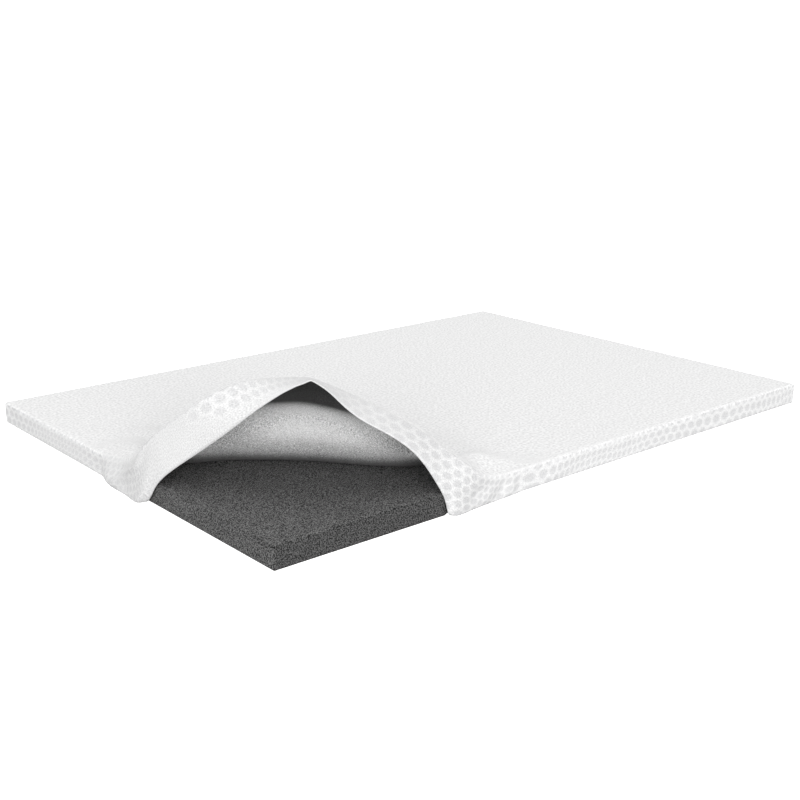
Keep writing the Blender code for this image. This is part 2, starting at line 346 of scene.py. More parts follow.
def thread_through(points: np.ndarray, count: int, evenness: float = 0.5) -> np.ndarray:
    """Lays a smooth line through each column's points and sets new points along it.

    Args:
        points: columns of points, as columns by points by 3, or more with values that go along.
        count: how many spans the new line has.
        evenness: 1 spaces the new points by length, and 0 by the old points.

    Returns:
        The new points and values, as columns by count + 1 by 3 or more.
    """
    columns, old = points.shape[:2]
    spans = span_lengths(points)
    knots = added_up(np.sqrt(spans) + LEAST_KNOT)
    run = added_up(spans + LEAST_SPAN)
    share = evenness * run / run[:, -1:] + (1 - evenness) * np.linspace(0, 1, old)
    wanted = np.linspace(0, 1, count + 1)
    place = np.stack([np.interp(wanted, row, np.arange(old)) for row in share])
    index = np.minimum(place.astype(int), old - 2)
    rows = np.arange(columns)[:, None]
    first = 2 * points[:, :1] - points[:, 1:2]
    last = 2 * points[:, -1:] - points[:, -2:-1]
    wide = np.concatenate([first, points, last], axis=1)
    gap_first, gap_last = knots[:, :1] - knots[:, 1:2], 2 * knots[:, -1:] - knots[:, -2:-1]
    wide_knots = np.concatenate([gap_first, knots, gap_last], axis=1)
    t0, t1, t2, t3 = (wide_knots[rows, index + step][..., None] for step in range(4))
    p0, p1, p2, p3 = (wide[rows, index + step] for step in range(4))
    t = t1 + (t2 - t1) * (place - index)[..., None]
    a1 = (t1 - t) / (t1 - t0) * p0 + (t - t0) / (t1 - t0) * p1
    a2 = (t2 - t) / (t2 - t1) * p1 + (t - t1) / (t2 - t1) * p2
    a3 = (t3 - t) / (t3 - t2) * p2 + (t - t2) / (t3 - t2) * p3
    b1 = (t2 - t) / (t2 - t0) * a1 + (t - t0) / (t2 - t0) * a2
    b2 = (t3 - t) / (t3 - t1) * a2 + (t - t1) / (t3 - t1) * a3
    return (t2 - t) / (t2 - t1) * b1 + (t - t1) / (t2 - t1) * b2


def slow_waves(u: np.ndarray, v: np.ndarray, seed: int, count: int, shortest: float) -> np.ndarray:
    """Even, seeded swells over the flat cloth.

    Args:
        u: places along the cloth's length.
        v: places along its width.
        seed: chooses the swells.
        count: how many are added up.
        shortest: the shortest swell, in metres.

    Returns:
        The swells' height, about from -1 to 1.
    """
    dice = np.random.default_rng(seed)
    total = np.zeros_like(u)
    for _ in range(count):
        turn, phase = dice.uniform(0, 2 * math.pi, 2)
        pace = 2 * math.pi / dice.uniform(shortest, 3 * shortest)
        total += np.sin(pace * (u * math.cos(turn) + v * math.sin(turn)) + phase)
    return total / math.sqrt(count)


def crease_heights(creases: tuple[Crease, ...], places: np.ndarray) -> np.ndarray:
    """How high a set of creases stands at each place of the flat cloth.

    Args:
        creases: the creases.
        places: the places, as u and v.

    Returns:
        The heights, below 0 in a trough.
    """
    total = np.zeros(len(places))
    for crease in creases:
        start, end = np.array(crease.start), np.array(crease.end)
        along = (places - start) @ (end - start) / np.dot(end - start, end - start)
        nearest = start + np.clip(along, 0, 1)[:, None] * (end - start)
        across = np.linalg.norm(places - nearest, axis=1) / crease.width
        ends = smooth_step(along / CREASE_FADE) * smooth_step((1 - along) / CREASE_FADE)
        total += crease.height * np.exp(-across * across) * ends
    return total


# ------------------------------------------------------------------------------------- finishes

# Most of a grain's values lie between these
GRAIN_SPAN = (0.25, 0.75)

# Where a mixing node takes its share and its two numbers, and its two colours
MIX_NUMBER_SOCKETS = (0, 2, 3)
MIX_COLOR_SOCKETS = (6, 7)


class NodeBench:
    """Sets out and joins the shader nodes of one material."""

    def __init__(self, name: str) -> None:
        """Starts a material with its Principled shader.

        Args:
            name: the material's name.
        """
        self.material = bpy.data.materials.new(name)
        self.material.use_nodes = True
        self.nodes = self.material.node_tree.nodes
        self.links = self.material.node_tree.links
        self.shader = self.nodes["Principled BSDF"]

    def add(self, kind: str, **settings: object) -> bpy.types.Node:
        """Adds a node.

        Args:
            kind: Blender's name for the node.
            settings: the node's own settings.

        Returns:
            The new node.
        """
        node = self.nodes.new(kind)
        for name, value in settings.items():
            setattr(node, name, value)
        return node

    def feed(self, socket: Socket, value: object) -> None:
        """Joins a socket to another, or sets its value.

        Args:
            socket: the socket that takes the value.
            value: another socket, or the value itself.
        """
        if isinstance(value, bpy.types.NodeSocket):
            self.links.new(value, socket)
        else:
            socket.default_value = value

    def read(self, name: str) -> Socket:
        """What the mesh carries under that name."""
        return self.add("ShaderNodeAttribute", attribute_name=name).outputs["Vector"]

    def split(self, vector: Socket) -> bpy.types.bpy_prop_collection:
        """Takes a vector apart.

        Args:
            vector: the vector's socket.

        Returns:
            The sockets of its three parts, by axis.
        """
        node = self.add("ShaderNodeSeparateXYZ")
        self.feed(node.inputs[0], vector)
        return node.outputs

    def sum(self, step: MathStep, *values: Value) -> Socket:
        """Works out one sum.

        Args:
            step: which sum.
            values: its numbers or sockets.

        Returns:
            The result's socket.
        """
        node = self.add("ShaderNodeMath", operation=step.value)
        for socket, value in zip(node.inputs, values):
            self.feed(socket, value)
        return node.outputs["Value"]

    def line(self, terms: tuple[tuple[float, Socket], ...], offset: float = 0.0) -> Socket:
        """Adds up sockets, each times its own number.

        Args:
            terms: pairs of a number and a socket.
            offset: added to the result.

        Returns:
            The result's socket.
        """
        total: Value = offset
        for factor, socket in terms:
            product = self.sum(MathStep.MULTIPLY, socket, factor)
            total = self.sum(MathStep.ADD, product, total)
        return total

    def step_between(self, value: Value, low: float, high: float) -> Socket:
        """A smooth rise from 0 at low to 1 at high, or a fall where high is less.

        Args:
            value: what is read.
            low: where the result is 0.
            high: where the result is 1.

        Returns:
            The result's socket.
        """
        node = self.add("ShaderNodeMapRange", interpolation_type="SMOOTHSTEP")
        fall = high < low
        self.feed(node.inputs["Value"], value)
        node.inputs["From Min"].default_value = min(low, high)
        node.inputs["From Max"].default_value = max(low, high)
        node.inputs["To Min"].default_value = 1.0 if fall else 0.0
        node.inputs["To Max"].default_value = 0.0 if fall else 1.0
        return node.outputs["Result"]

    def grain(self, where: Socket, scale: float, detail: float = 2.0, rough: float = 0.6) -> Socket:
        """Fine uneven grain.

        Args:
            where: the place that is read.
            scale: grains to a metre.
            detail: how many finer grains are laid over it.
            rough: how strong those are.

        Returns:
            The grain's socket, from 0 to 1.
        """
        node = self.add("ShaderNodeTexNoise")
        self.feed(node.inputs["Vector"], where)
        node.inputs["Scale"].default_value = scale
        node.inputs["Detail"].default_value = detail
        node.inputs["Roughness"].default_value = rough
        return node.outputs["Fac"]

    def blend(self, share: Value, low: Value, high: Value) -> Socket:
        """Mixes two numbers.

        Args:
            share: 0 gives the first and 1 the second.
            low: the first number, or its socket.
            high: the second one.

        Returns:
            The mixed number's socket.
        """
        node = self.add("ShaderNodeMix", data_type="FLOAT")
        for index, value in zip(MIX_NUMBER_SOCKETS, (share, low, high)):
            self.feed(node.inputs[index], value)
        return node.outputs[0]

    def blend_colors(self, share: Value, low: Color, high: Color) -> Socket:
        """Mixes two colours.

        Args:
            share: 0 gives the first and 1 the second.
            low: the first colour, or its socket.
            high: the second one.

        Returns:
            The mixed colour's socket.
        """
        node = self.add("ShaderNodeMix", data_type="RGBA")
        self.feed(node.inputs[0], share)
        for index, color in zip(MIX_COLOR_SOCKETS, (low, high)):
            value = color if isinstance(color, bpy.types.NodeSocket) else (*color, 1.0)
            self.feed(node.inputs[index], value)
        return node.outputs[2]

    def scale_color(self, color: Socket, factor: Socket) -> Socket:
        """Multiplies a colour.

        Args:
            color: the colour's socket.
            factor: what it is multiplied by.

        Returns:
            The result's socket.
        """
        node = self.add("ShaderNodeVectorMath", operation="SCALE")
        self.feed(node.inputs[0], color)
        self.feed(node.inputs["Scale"], factor)
        return node.outputs["Vector"]

    def shade_color(self, color: Socket, share: Socket, least: float, most: float) -> Socket:
        """Darkens and lightens a colour by a grain.

        Args:
            color: the colour's socket.
            share: the grain, from 0 to 1.
            least: brightness where the grain is 0.
            most: brightness where it is 1.

        Returns:
            The shaded colour's socket.
        """
        bright = self.add("ShaderNodeMapRange")
        self.feed(bright.inputs["Value"], share)
        bright.inputs["From Min"].default_value = GRAIN_SPAN[0]
        bright.inputs["From Max"].default_value = GRAIN_SPAN[1]
        bright.inputs["To Min"].default_value = least
        bright.inputs["To Max"].default_value = most
        return self.scale_color(color, bright.outputs["Result"])

    def relief(self, height: Socket, distance: float, strength: float = 1.0) -> None:
        """Gives the shader a fine relief.

        Args:
            height: the relief, from 0 to 1.
            distance: its depth in metres.
            strength: how much of it shows.
        """
        node = self.add("ShaderNodeBump")
        node.inputs["Strength"].default_value = strength
        node.inputs["Distance"].default_value = distance
        self.feed(node.inputs["Height"], height)
        self.feed(self.shader.inputs["Normal"], node.outputs["Normal"])


@dataclass(frozen=True)
class KnitFace:
    """White knit: a fine plain top, and a border with recessed dots in a raised net, greyed with
    painted shade where it is lifted.
    """

    place_name: str = "cloth_place"
    dots_name: str = "border_dots"
    plain: Triple = (0.835, 0.835, 0.835)
    net: Triple = (0.87, 0.87, 0.87)
    dots: Triple = (0.71, 0.71, 0.715)
    border_painted_shade: float = 0.12
    dot_radius: float = 0.37
    edge: float = 0.15
    unevenness: float = 0.25
    wobble_scale: float = 70.0
    stitch_scale: float = 150.0
    border_stitch_scale: float = 330.0
    border_starts: tuple[float, float] = (0.1, 0.5)
    stitch_shades: tuple[float, float] = (0.78, 1.12)
    patch_scale: float = 26.0
    patch_shades: tuple[float, float] = (0.985, 1.015)
    relief_depth: float = 0.0009
    relief_strength: float = 0.8
    stitch_relief: float = 0.35
    roughness: float = 0.9
    sheen: float = 0.2
    sheen_roughness: float = 0.6

    def dot_distance(self, bench: NodeBench, along: Socket, across: Socket) -> Socket:
        """How far a point is from the nearest dot's middle, in staggered rows.

        Args:
            bench: the material's bench.
            along: place along the border, in dots.
            across: place down it, in rows.

        Returns:
            The distance, in dots.
        """
        row_pair = math.sqrt(3)
        pairs = bench.sum(MathStep.MULTIPLY, across, 0.5)
        found = []
        for shift in (0.0, 0.5):
            squares = []
            for place, size in ((along, 1.0), (pairs, row_pair)):
                moved = bench.sum(MathStep.ADD, place, shift)
                share = bench.sum(MathStep.FRACTION, moved)
                offset = bench.sum(MathStep.SUBTRACT, share, 0.5)
                scaled = bench.sum(MathStep.MULTIPLY, offset, size)
                squares.append(bench.sum(MathStep.MULTIPLY, scaled, scaled))
            found.append(bench.sum(MathStep.ADD, *squares))
        return bench.sum(MathStep.ROOT, bench.sum(MathStep.LEAST, *found))

    def material(self) -> bpy.types.Material:
        """Makes the finish.

        Returns:
            The finish as a material.
        """
        bench = NodeBench("knit_face")
        place = bench.read(self.place_name)
        border = bench.split(bench.read(self.dots_name))
        wobble = bench.grain(place, self.wobble_scale, detail=1.0)
        along = bench.line(((1.0, border["X"]), (self.unevenness, wobble)))
        distance = self.dot_distance(bench, along, border["Y"])
        strength = border["Z"]
        net = bench.step_between(distance, self.dot_radius - self.edge, self.dot_radius + self.edge)
        dots = bench.sum(MathStep.SUBTRACT, 1.0, net)
        dots = bench.sum(MathStep.MULTIPLY, dots, strength)
        on_border = bench.step_between(border["Y"], *self.border_starts)
        top_stitches = bench.grain(place, self.stitch_scale, detail=0.5)
        border_stitches = bench.grain(place, self.border_stitch_scale, detail=0.5)
        stitches = bench.blend(on_border, top_stitches, border_stitches)
        patches = bench.grain(place, self.patch_scale, detail=1.0)
        color = bench.blend_colors(strength, self.plain, self.net)
        color = bench.blend_colors(dots, color, self.dots)
        color = bench.shade_color(color, stitches, *self.stitch_shades)
        color = bench.shade_color(color, patches, *self.patch_shades)
        # Painted shade: the lifted border is made greyer where painted shade lies on its inner side
        painted_border_shade = bench.sum(MathStep.MULTIPLY, on_border, bench.split(place)["Z"])
        color = bench.scale_color(color, bench.line(((-self.border_painted_shade, painted_border_shade),), 1.0))
        bench.feed(bench.shader.inputs["Base Color"], color)
        bench.shader.inputs["Roughness"].default_value = self.roughness
        bench.shader.inputs["Sheen Weight"].default_value = self.sheen
        bench.shader.inputs["Sheen Roughness"].default_value = self.sheen_roughness
        height = bench.line(((-1.0, dots), (self.stitch_relief, stitches)))
        bench.relief(height, self.relief_depth, self.relief_strength)
        return bench.material


@dataclass(frozen=True)
class KnitBack:
    """The cover's plain inner side: loose light grey loops, with near-black painted shade where the
    hood shades it.
    """

    place_name: str = "cloth_place"
    color: Triple = (0.95, 0.95, 0.95)
    painted_shade: Triple = (0.075, 0.075, 0.075)
    loop_scale: float = 260.0
    loop_shades: tuple[float, float] = (0.25, 1.55)
    cloud_scale: float = 45.0
    cloud_shade: float = 0.96
    raggedness: float = 0.5
    painted_shade_starts: tuple[float, float] = (0.10, 0.90)
    relief_depth: float = 0.0010
    relief_strength: float = 0.8
    roughness: float = 0.95

    def material(self) -> bpy.types.Material:
        """Makes the finish.

        Returns:
            The finish as a material.
        """
        bench = NodeBench("knit_back")
        place = bench.read(self.place_name)
        loops = bench.grain(place, self.loop_scale, detail=1.5, rough=0.7)
        clouds = bench.grain(place, self.cloud_scale, detail=1.0)
        shaded = tuple(self.cloud_shade * part for part in self.color)
        color = bench.blend_colors(clouds, shaded, self.color)
        # Painted shade: the inner side turns to the painted shade colour where the third value of
        # its place calls for it, ragged by the loops
        terms = ((1.0, bench.split(place)["Z"]), (-self.raggedness, loops))
        painted_shade_share = bench.step_between(bench.line(terms, self.raggedness / 2), *self.painted_shade_starts)
        color = bench.blend_colors(painted_shade_share, color, self.painted_shade)
        color = bench.shade_color(color, loops, *self.loop_shades)
        bench.feed(bench.shader.inputs["Base Color"], color)
        bench.shader.inputs["Roughness"].default_value = self.roughness
        bench.relief(loops, self.relief_depth, self.relief_strength)
        return bench.material


@dataclass(frozen=True)
class OpenCellFoam:
    """Charcoal open-cell foam: dark pores between paler cell walls, with painted shade on its cut
    sides and rounded edges.
    """

    dark: Triple = (0.010, 0.010, 0.010)
    pale: Triple = (0.222, 0.221, 0.220)
    cell_scale: float = 330.0
    fine_pace: float = 2.3
    fine_share: float = 0.25
    cell_wall_starts: tuple[float, float] = (0.41, 0.60)
    cloud_scale: float = 18.0
    cloud_shades: tuple[float, float] = (0.95, 1.05)
    # Painted shade on the long and short cut sides and on the rounded edges
    long_side_shade: float = 0.36
    short_side_shade: float = 0.06
    edge_shade: float = 0.30
    relief_depth: float = 0.0010
    relief_strength: float = 0.8
    roughness: float = 0.96
    gloss: float = 0.2

    def material(self) -> bpy.types.Material:
        """Makes the finish.

        Returns:
            The finish as a material.
        """
        bench = NodeBench("open_cell_foam")
        place = bench.add("ShaderNodeTexCoord").outputs["Object"]
        cells = bench.grain(place, self.cell_scale, detail=1.0, rough=0.7)
        fine = bench.grain(place, self.fine_pace * self.cell_scale, detail=0.0)
        clouds = bench.grain(place, self.cloud_scale, detail=2.0)
        speck = bench.line(((1 - self.fine_share, cells), (self.fine_share, fine)))
        share = bench.step_between(speck, *self.cell_wall_starts)
        color = bench.blend_colors(share, self.dark, self.pale)
        color = bench.shade_color(color, clouds, *self.cloud_shades)
        color = bench.scale_color(color, self.facing_shade(bench))
        bench.feed(bench.shader.inputs["Base Color"], color)
        bench.shader.inputs["Roughness"].default_value = self.roughness
        bench.shader.inputs["Specular IOR Level"].default_value = self.gloss
        bench.relief(speck, self.relief_depth, self.relief_strength)
        return bench.material

    def facing_shade(self, bench: NodeBench) -> Socket:
        """Painted shade by the way the foam faces: darker on the cut sides and the rounded edges.

        Args:
            bench: the material's bench.

        Returns:
            The brightness's socket, 1 on the top.
        """
        normal = bench.split(bench.add("ShaderNodeNewGeometry").outputs["Normal"])
        squares = {axis: bench.sum(MathStep.MULTIPLY, normal[axis], normal[axis]) for axis in "XYZ"}
        on_edge = 4 * self.edge_shade
        terms = (
            (-self.short_side_shade, squares["X"]),
            (-self.long_side_shade, squares["Y"]),
            (-on_edge, squares["Z"]),
            (on_edge, bench.sum(MathStep.MULTIPLY, squares["Z"], squares["Z"])),
        )
        return bench.line(terms, 1.0)


@dataclass(frozen=True)
class StudioSweep:
    """Pale matt floor that curves up into the backdrop."""

    color: Triple = (0.95, 0.95, 0.95)
    glow: float = 1.0

    def material(self) -> bpy.types.Material:
        """Makes the finish.

        Returns:
            The finish as a material.
        """
        bench = NodeBench("studio_sweep")
        bench.shader.inputs["Base Color"].default_value = (*self.color, 1.0)
        bench.shader.inputs["Roughness"].default_value = 1.0
        bench.shader.inputs["Specular IOR Level"].default_value = 0.0
        bench.shader.inputs["Emission Color"].default_value = (1.0, 1.0, 1.0, 1.0)
        bench.shader.inputs["Emission Strength"].default_value = self.glow
        return bench.material


# ------------------------------------------------------------------------------------ foam slab


def new_piece(name: str, points: np.ndarray, faces: list[tuple[int, ...]]) -> bpy.types.Object:
    """Makes a smooth mesh piece.

    Args:
        name: the piece's name.
        points: its points.
        faces: the points of each face.

    Returns:
        The piece, in the scene.
    """
    mesh = bpy.data.meshes.new(name)
    mesh.from_pydata(points.tolist(), [], faces)
    mesh.validate()
    mesh.shade_smooth()
    piece = bpy.data.objects.new(name, mesh)
    bpy.context.scene.collection.objects.link(piece)
    return piece


@dataclass
class FoamCore:
    """The foam slab, with soft cut edges and a shallow bed below for the turned hem."""

    sizes: TopperSizes
    edge_radius: float = 0.006
    edge_steps: int = 5
    bare_step: float = 0.008
    far_step: float = 0.060
    bare_reach: float = 0.62
    unevenness: float = 0.0004
    bed_margin: float = 0.002
    bed_depth: float = 0.020
    swell_from: float = 0.030
    swell_over: float = 0.020
    shortest_swell: float = 0.05
    swell_count: int = 9
    swell_seed: int = 5
    finish: OpenCellFoam = field(default_factory=OpenCellFoam)

    def lines(self, size: float, bare: float) -> np.ndarray:
        """Grid lines along one direction: close over the bare corner and in the soft edges.

        Args:
            size: the slab's size that way.
            bare: how far the bare corner reaches.

        Returns:
            The lines' places, from 0 to size.
        """
        roll = np.linspace(0, self.edge_radius, self.edge_steps + 1)
        close = np.arange(self.edge_radius, bare, self.bare_step)[1:]
        far_count = max(1, round((size - self.edge_radius - bare) / self.far_step))
        far = np.linspace(bare, size - self.edge_radius, far_count + 1)[:-1]
        return np.concatenate([roll, close, far, size - roll[::-1]])

    def hem_bed(self, points: np.ndarray) -> np.ndarray:
        """How far each point of the underside is pressed up by the hem.

        Args:
            points: places from the slab's own corner.

        Returns:
            The rise at each point.
        """
        s = self.sizes
        reach = s.hem_turn - s.wall + self.bed_margin
        p, q = points[:, 0], points[:, 1]
        near_q = (q < reach) & (p > s.hem_press_from_p)
        near_p = (p < reach) & (q > s.hem_press_from_q)
        far = (p > s.foam_length - reach) | (q > s.foam_width - reach)
        return s.hem_press * (near_q | near_p | far)

    def build(self) -> bpy.types.Object:
        """Builds the slab as a closed grid with rounded edges.

        Returns:
            The slab.
        """
        s = self.sizes
        size = np.array([s.foam_length, s.foam_width, s.foam_height])
        lines = [
            self.lines(s.foam_length, self.bare_reach),
            self.lines(s.foam_width, self.bare_reach),
            self.lines(s.foam_height, s.foam_height / 2),
        ]
        places: dict[tuple[int, int, int], int] = {}
        points: list[tuple[float, float, float]] = []
        faces: list[tuple[int, ...]] = []

        def corner(index: tuple[int, int, int]) -> int:
            """Looks up a grid point, which is made the first time it is asked for.

            Args:
                index: its place among the lines of each direction.

            Returns:
                The point's number.
            """
            if index not in places:
                places[index] = len(points)
                points.append(tuple(lines[axis][index[axis]] for axis in range(3)))
            return places[index]

        for axis in range(3):
            one, two = (axis + 1) % 3, (axis + 2) % 3
            for end in (0, len(lines[axis]) - 1):
                for i in range(len(lines[one]) - 1):
                    for j in range(len(lines[two]) - 1):
                        face = []
                        for di, dj in ((0, 0), (1, 0), (1, 1), (0, 1)):
                            index = [0, 0, 0]
                            index[axis], index[one], index[two] = end, i + di, j + dj
                            face.append(corner(tuple(index)))
                        faces.append(tuple(face if end else face[::-1]))
        raw = np.array(points)
        inner = np.clip(raw, self.edge_radius, size - self.edge_radius)
        rounded = inner + unit(raw - inner) * self.edge_radius
        on_flat = np.linalg.norm(raw - inner, axis=1) < TINY
        rounded[on_flat] = raw[on_flat]
        rounded[:, 2] += self.hem_bed(raw) * np.clip(1 - raw[:, 2] / self.bed_depth, 0, 1)
        top = smooth_step((raw[:, 2] - self.swell_from) / self.swell_over)
        swell = slow_waves(
            raw[:, 0], raw[:, 1], self.swell_seed, self.swell_count, self.shortest_swell
        )
        rounded[:, 2] -= self.unevenness * top * (1 + np.clip(swell, -1, 1)) / 2
        return new_piece("foam_block", rounded + s.corner + [s.wall, s.wall, 0], faces)

    def dress(self, piece: bpy.types.Object) -> None:
        """Gives the slab its finish and its place in the frame.

        Args:
            piece: the slab.
        """
        piece.data.materials.append(self.finish.material())
        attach(piece, "root")
        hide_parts("foam_core")


# ---------------------------------------------------------------------------------------- cover


class Cloth(NamedTuple):
    """The cloth's points, their places on it when flat, its faces and their corners' dots.

    A place is u, v and how much painted shade lies on the cloth's inner side there.
    """

    points: np.ndarray
    places: np.ndarray
    dots: np.ndarray
    faces: list[tuple[int, ...]]


class Rolls(NamedTuple):
    """How far a column's bend at the rim and at the fold reaches."""

    edge: np.ndarray
    fold: np.ndarray


@dataclass
class Cover:
    """The knit cover: top, four sides and turned hem in one cloth, drawn up at one corner.

    The painted shade share is how much painted shade the inner side carries at each of the hood's
    eleven points, from rim to slab: dark under the roof and at the wall's foot.
    """

    sizes: TopperSizes

    # The bends where the cover fits the slab: at its edge, its fold and its upright corners
    edge_radius: float = 0.007
    fold_radius: float = 0.004
    corner_radius: float = 0.010
    corner_steps: int = 3

    # How far from a side's ends its columns are shifted along it
    edge_reach: float = 0.030
    turn_reach: float = 0.060
    hem_squeeze: float = 0.080

    # The ridge and the band of the lifted corner, and its two feet
    ridge_radius: float = 0.018
    left_ridge_radius: float = 0.007
    left_foot_to: float = 4.0
    left_foot_over: float = 3.0
    band_roll: float = 0.012
    band_swell: float = 0.004
    half_band: float = 0.6
    foot_roll: float = 0.009
    foot_reach: float = 0.012
    lift_full: float = 0.050
    evened_columns: float = 0.36

    # The hood: its roof, the brow, the inner wall and the knee where that meets the flat cloth
    brow_radius: float = 0.030
    knee_radius: float = 0.024
    brow_on_roof: float = 0.40
    brow_on_wall: float = 0.45
    knee_on_wall: float = 0.40
    brow_lean: float = 0.012
    brow_full: float = 0.080
    flat_brow_step: float = 0.030
    roof_crown: float = 0.016
    wall_bulge: float = 0.010
    base_set: float = 0.034

    # Where the roof's and the wall's points are set along them, and how much each point bows
    roof_bows: tuple[tuple[float, float], ...] = ((0.35, 1.0), (0.7, 0.9))
    wall_bows: tuple[tuple[float, float], ...] = ((0.35, 0.6), (0.7, 1.0))
    knee_bows: Triple = (0.75, 0.3, 0.0)

    # Columns to a section, and the rows of the hood, the flat top and the skirt
    steps: int = 10
    hood_rows: int = 42
    flat_rows: int = 66
    flat_spread: float = 1.25
    skirt_rows: int = 18

    # Slow swells of the cloth, which start a little above the fold
    top_swell: float = 0.0007
    side_swell: float = 0.0007
    shortest_swell: float = 0.07
    swell_count: int = 14
    swell_seed: int = 11
    fold_clearance: float = 0.003
    fold_rise: float = 0.010

    # How the dots fade in and out down the border, and the painted highlight, a faint bright line
    # just below the rim on the left
    dots_fade_in: float = 0.006
    dots_fade_out: float = 0.020
    rim_highlight: float = 0.8
    rim_highlight_down: float = 0.002
    rim_highlight_width: float = 0.004
    rim_highlight_middle: float = -0.40
    rim_highlight_reach: float = 0.35

    # Painted shade on the inner side: over the hood, towards its two ends and behind the skirt
    painted_shade_share: tuple[float, ...] = (1, 1, 1, 1, 0.5, 0.02, 0.14, 0.48, 0.68, 1.0, 1.0)
    painted_shade_at_ends: float = 0.50
    painted_shade_least_at: float = 0.02
    painted_shade_ends_from: float = 0.09
    painted_shade_ends_over: float = 0.42
    painted_shade_skirt_over: float = 3.0

    flat_size: tuple[float, float] = (2.10, 1.55)
    face: KnitFace = field(default_factory=KnitFace)
    back: KnitBack = field(default_factory=KnitBack)

    @property
    def corner_arc(self) -> np.ndarray:
        """How far from a corner the points that round it off are set."""
        return np.linspace(0, self.corner_radius, self.corner_steps + 1)

    @property
    def far_offsets(self) -> np.ndarray:
        """How far from a far side each of the top's last rows lies."""
        return np.array([self.edge_reach, 2 * self.corner_radius, *self.corner_arc[::-1]])

    # ------------------------------------------------------------------ lifted corner

    def lifted_controls(self) -> tuple[np.ndarray, np.ndarray]:
        """The points that each column of the lifted corner passes through.

        Returns:
            The points of the hood, from rim to slab, and those of the skirt, from rim to hem.
        """
        places = np.linspace(0, len(SECTIONS) - 1, (len(SECTIONS) - 1) * self.steps + 1)
        hem = section_curve(np.array([s.hem for s in SECTIONS]) * MM, places)
        ridge = section_curve(np.array([s.ridge for s in SECTIONS]) * MM, places)
        back = section_curve(np.array([(*s.back, 0.0) for s in SECTIONS]) * MM, places)
        brow = section_curve(np.array([[s.brow] for s in SECTIONS]) * MM, places)
        turn = section_curve(np.array([self.band_turn(s) for s in SECTIONS]), places)

        lift = smooth_step((ridge[:, 2:] - self.sizes.height) / self.lift_full)
        back[:, 2] = self.sizes.height
        away = unit((back - ridge) * [1, 1, 0])
        fullness = np.clip(brow / self.brow_full, 0, 1)
        lean = self.brow_lean * fullness - self.flat_brow_step * (1 - fullness)
        bend = back + away * lean + brow * [0, 0, 1]

        left = (places < PEAK_SECTION)[:, None]
        side_inward = np.where(left, [1.0, 0.0, 0.0], [0.0, 1.0, 0.0])
        inward = unit(side_inward * (1 - lift) + unit(bend - ridge) * lift)
        stands_out = np.maximum(-turn[:, :1], -turn[:, 1:2]) / self.foot_reach
        foot = np.clip(stands_out, 0, 1) * (turn[:, 2:] < self.fold_radius)
        band = lift * (turn[:, 2:] > self.fold_radius)
        left_foot = 1 - smooth_step((places - self.left_foot_to) / self.left_foot_over)[:, None]
        ridge_radius = self.ridge_radius + (self.left_ridge_radius - self.ridge_radius) * left_foot
        rolls = Rolls(
            self.edge_radius + (ridge_radius - self.edge_radius) * lift,
            self.fold_radius
            + (self.band_roll - self.fold_radius) * band
            + (self.foot_roll - self.fold_radius) * foot,
        )
        start = ridge + inward * rolls.edge
        fold_end = turn + unit(hem - turn) * rolls.fold
        skirt = self.skirt_controls(start, ridge, turn, fold_end, hem, rolls)
        hood = self.hood_controls(start, bend, back, away, fullness)
        spread, hold = self.evened_columns * self.steps, self.steps
        return ease_along(hood, spread, hold), ease_along(skirt, spread, hold)

    def band_turn(self, section: Section) -> np.ndarray:
        """Finds where the side turns: its fold below or, where it is lifted, its middle.

        Args:
            section: the cut across the corner.

        Returns:
            The turn's place in metres.
        """
        if section.turn:
            return np.array(section.turn) * MM
        hem, ridge = np.array(section.hem) * MM, np.array(section.ridge) * MM
        outward = np.array([-1.0, -1.0, 0.0]) / math.sqrt(2)
        return ridge + (hem - ridge) * self.half_band + outward * self.band_swell

    def hood_controls(
        self,
        start: np.ndarray,
        bend: np.ndarray,
        back: np.ndarray,
        away: np.ndarray,
        fullness: np.ndarray,
    ) -> np.ndarray:
        """Points from the rim, along the roof and down the wall, to the cloth that lies flat.

        Args:
            start: where the roof starts, behind the rim.
            bend: the brow, where roof and wall would meet.
            back: where the wall would meet the flat cloth.
            away: the level way from the rim to the flat cloth.
            fullness: 1 where the hood stands full, 0 where the cloth lies flat.

        Returns:
            Eleven points for each column.
        """
        base = back - away * fullness * self.base_set
        roof = np.linalg.norm(bend - start, axis=1, keepdims=True)
        wall = np.linalg.norm(base - bend, axis=1, keepdims=True)
        brow_room = np.minimum(self.brow_on_roof * roof, self.brow_on_wall * wall)
        brow_cut = np.minimum(self.brow_radius, brow_room)
        knee_cut = np.minimum(self.knee_radius, self.knee_on_wall * wall)
        brow = self.round_bend(start, bend, base, brow_cut)
        knee = self.round_bend(bend, base, base + away, knee_cut)
        crown = self.roof_crown * fullness * [0, 0, 1]
        roof_points = [
            start + (brow[0] - start) * share + crown * bow
            for share, bow in self.roof_bows
        ]
        bulge = away * fullness * self.wall_bulge
        wall_points = [
            brow[-1] + (knee[0] - brow[-1]) * share - bulge * bow
            for share, bow in self.wall_bows
        ]
        knee = [point - bulge * bow for point, bow in zip(knee, self.knee_bows)]
        return np.stack([start, *roof_points, *brow, *wall_points, *knee], axis=1)

    @staticmethod
    def round_bend(
        before: np.ndarray, bend: np.ndarray, after: np.ndarray, cut: np.ndarray
    ) -> list[np.ndarray]:
        """Rounds off a bend.

        Args:
            before: the point before the bend.
            bend: the bend itself.
            after: the point after it.
            cut: how far from the bend the rounding starts.

        Returns:
            Three points that replace the bend.
        """
        start = bend + unit(before - bend) * cut
        end = bend + unit(after - bend) * cut
        return [start, (start + 2 * bend + end) / 4, end]

